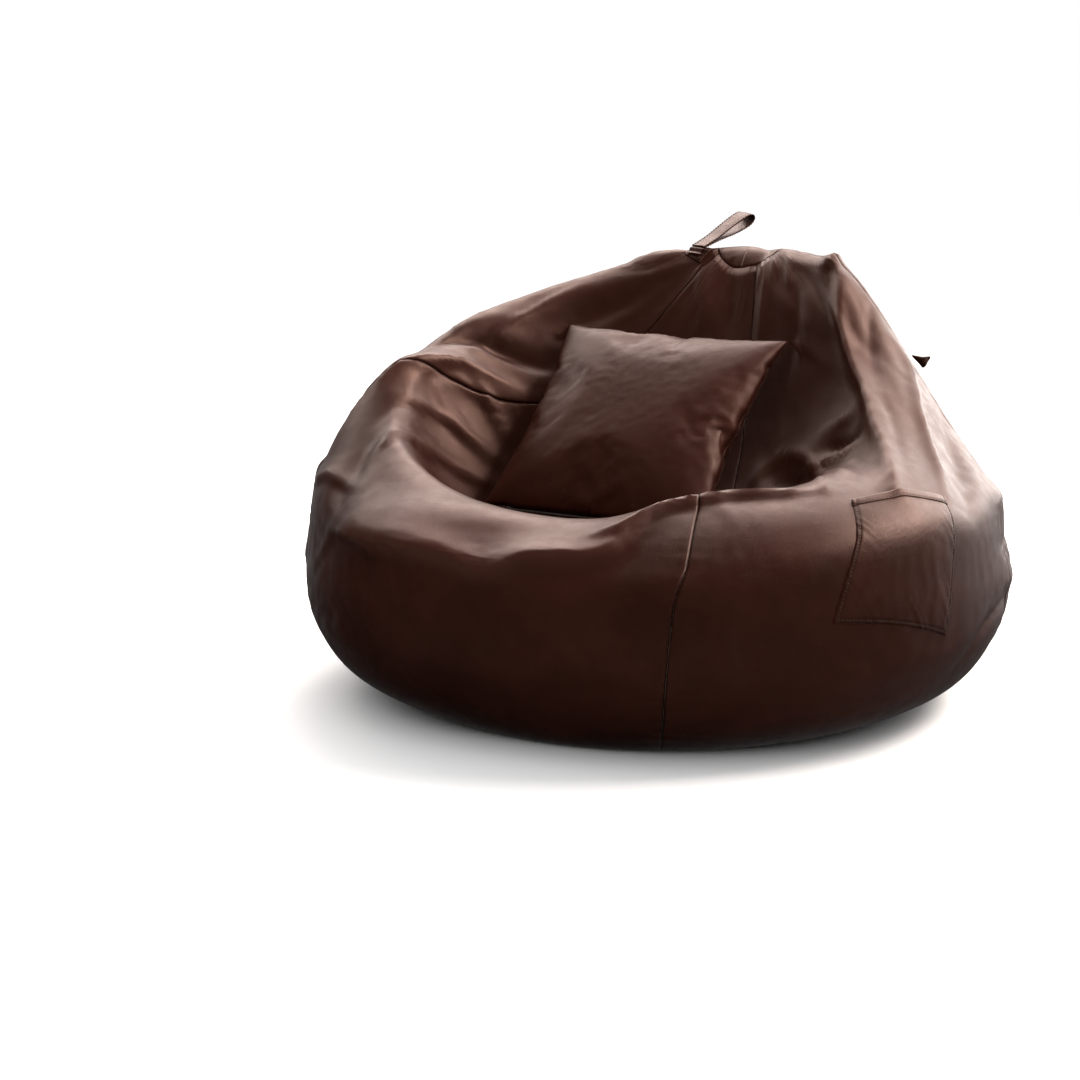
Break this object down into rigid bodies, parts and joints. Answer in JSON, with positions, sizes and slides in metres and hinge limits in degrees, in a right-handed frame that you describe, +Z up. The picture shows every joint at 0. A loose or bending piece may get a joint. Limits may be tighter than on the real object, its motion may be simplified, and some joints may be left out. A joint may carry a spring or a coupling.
{
  "type": "bean bag chair",
  "caption": "Large leatherette bean bag chair with a dished seat, high back, crest handle, side pocket, rear zip and a loose square pillow.",
  "frame": {"origin": "centre of the round base panel, on the floor", "axes": "+Z up, -Y out of the front of the seat, +X towards the side with the pocket; the bag is longest along X and shortest along Z"},
  "size_m": [1.1172, 1.0675, 0.7185],
  "materials": {
    "cover": "soft satin leatherette",
    "base": "matt leatherette",
    "pillow_cover": "soft satin leatherette",
    "lining": "plain woven polyester",
    "beads": "expanded polystyrene beads",
    "zip_tape": "woven tape",
    "zip_coil": "nylon coil",
    "zip_metal": "antique plated"
  },
  "bodies": {
    "bag": {"base_panel": "base", "front_panel": "cover", "right_front_panel": "cover", "right_rear_panel": "cover", "rear_right_panel": "cover", "rear_left_panel": "cover", "left_rear_panel": "cover", "left_front_panel": "cover", "top_cap": "cover", "inner_liner": "lining", "liner_zip": "zip_tape", "bead_filling": "beads", "zip_tape_right": "zip_tape", "zip_tape_left": "zip_tape", "zip_coil": "zip_coil", "zip_bottom_stop": "zip_metal", "zip_top_stop": "zip_metal", "handle_patch": "cover", "side_pocket": "cover", "pocket_hem": "cover"},
    "handle": {"handle_strap": "cover"},
    "rear_zip_slider": {"zip_slider": "zip_metal"},
    "rear_zip_pull": {"zip_pull_tab": "zip_metal"},
    "tab": {"seam_tab": "cover"},
    "pillow": {"pillow_front_cover": "pillow_cover", "pillow_back_cover": "pillow_cover", "pillow_insert": "lining", "pillow_zip": "zip_tape"},
    "pillow_slider": {"pillow_zip_slider": "zip_metal"}
  },
  "joints": [
    {"name": "handle_flop", "type": "hinge", "parent": "bag", "child": "handle", "pos_m": [-0.08886, 0.34622, 0.67038], "axis": [0.9171, -0.3987, 0], "range_deg": [-12, 105]},
    {"name": "rear_zip", "type": "slide", "parent": "bag", "child": "rear_zip_slider", "axis": [0, -0.3315, 0.9434], "range_m": [-0.18, 0]},
    {"name": "rear_zip_pull_flip", "type": "hinge", "parent": "rear_zip_slider", "child": "rear_zip_pull", "pos_m": [0, 0.45008, 0.55888], "axis": [1, 0, 0], "range_deg": [0, 160]},
    {"name": "tab_flop", "type": "hinge", "parent": "bag", "child": "tab", "pos_m": [0.33747, 0.26204, 0.51317], "axis": [-0.5368, -0.4194, 0.732], "range_deg": [-35, 35]},
    {"name": "pillow_lift", "type": "slide", "parent": "bag", "child": "pillow", "axis": [0, 0, 1], "range_m": [0, 0.45]},
    {"name": "pillow_zip_run", "type": "slide", "parent": "pillow", "child": "pillow_slider", "axis": [0.9999, -0.008, -0.0068], "range_m": [-0.27, 0]}
  ]
}
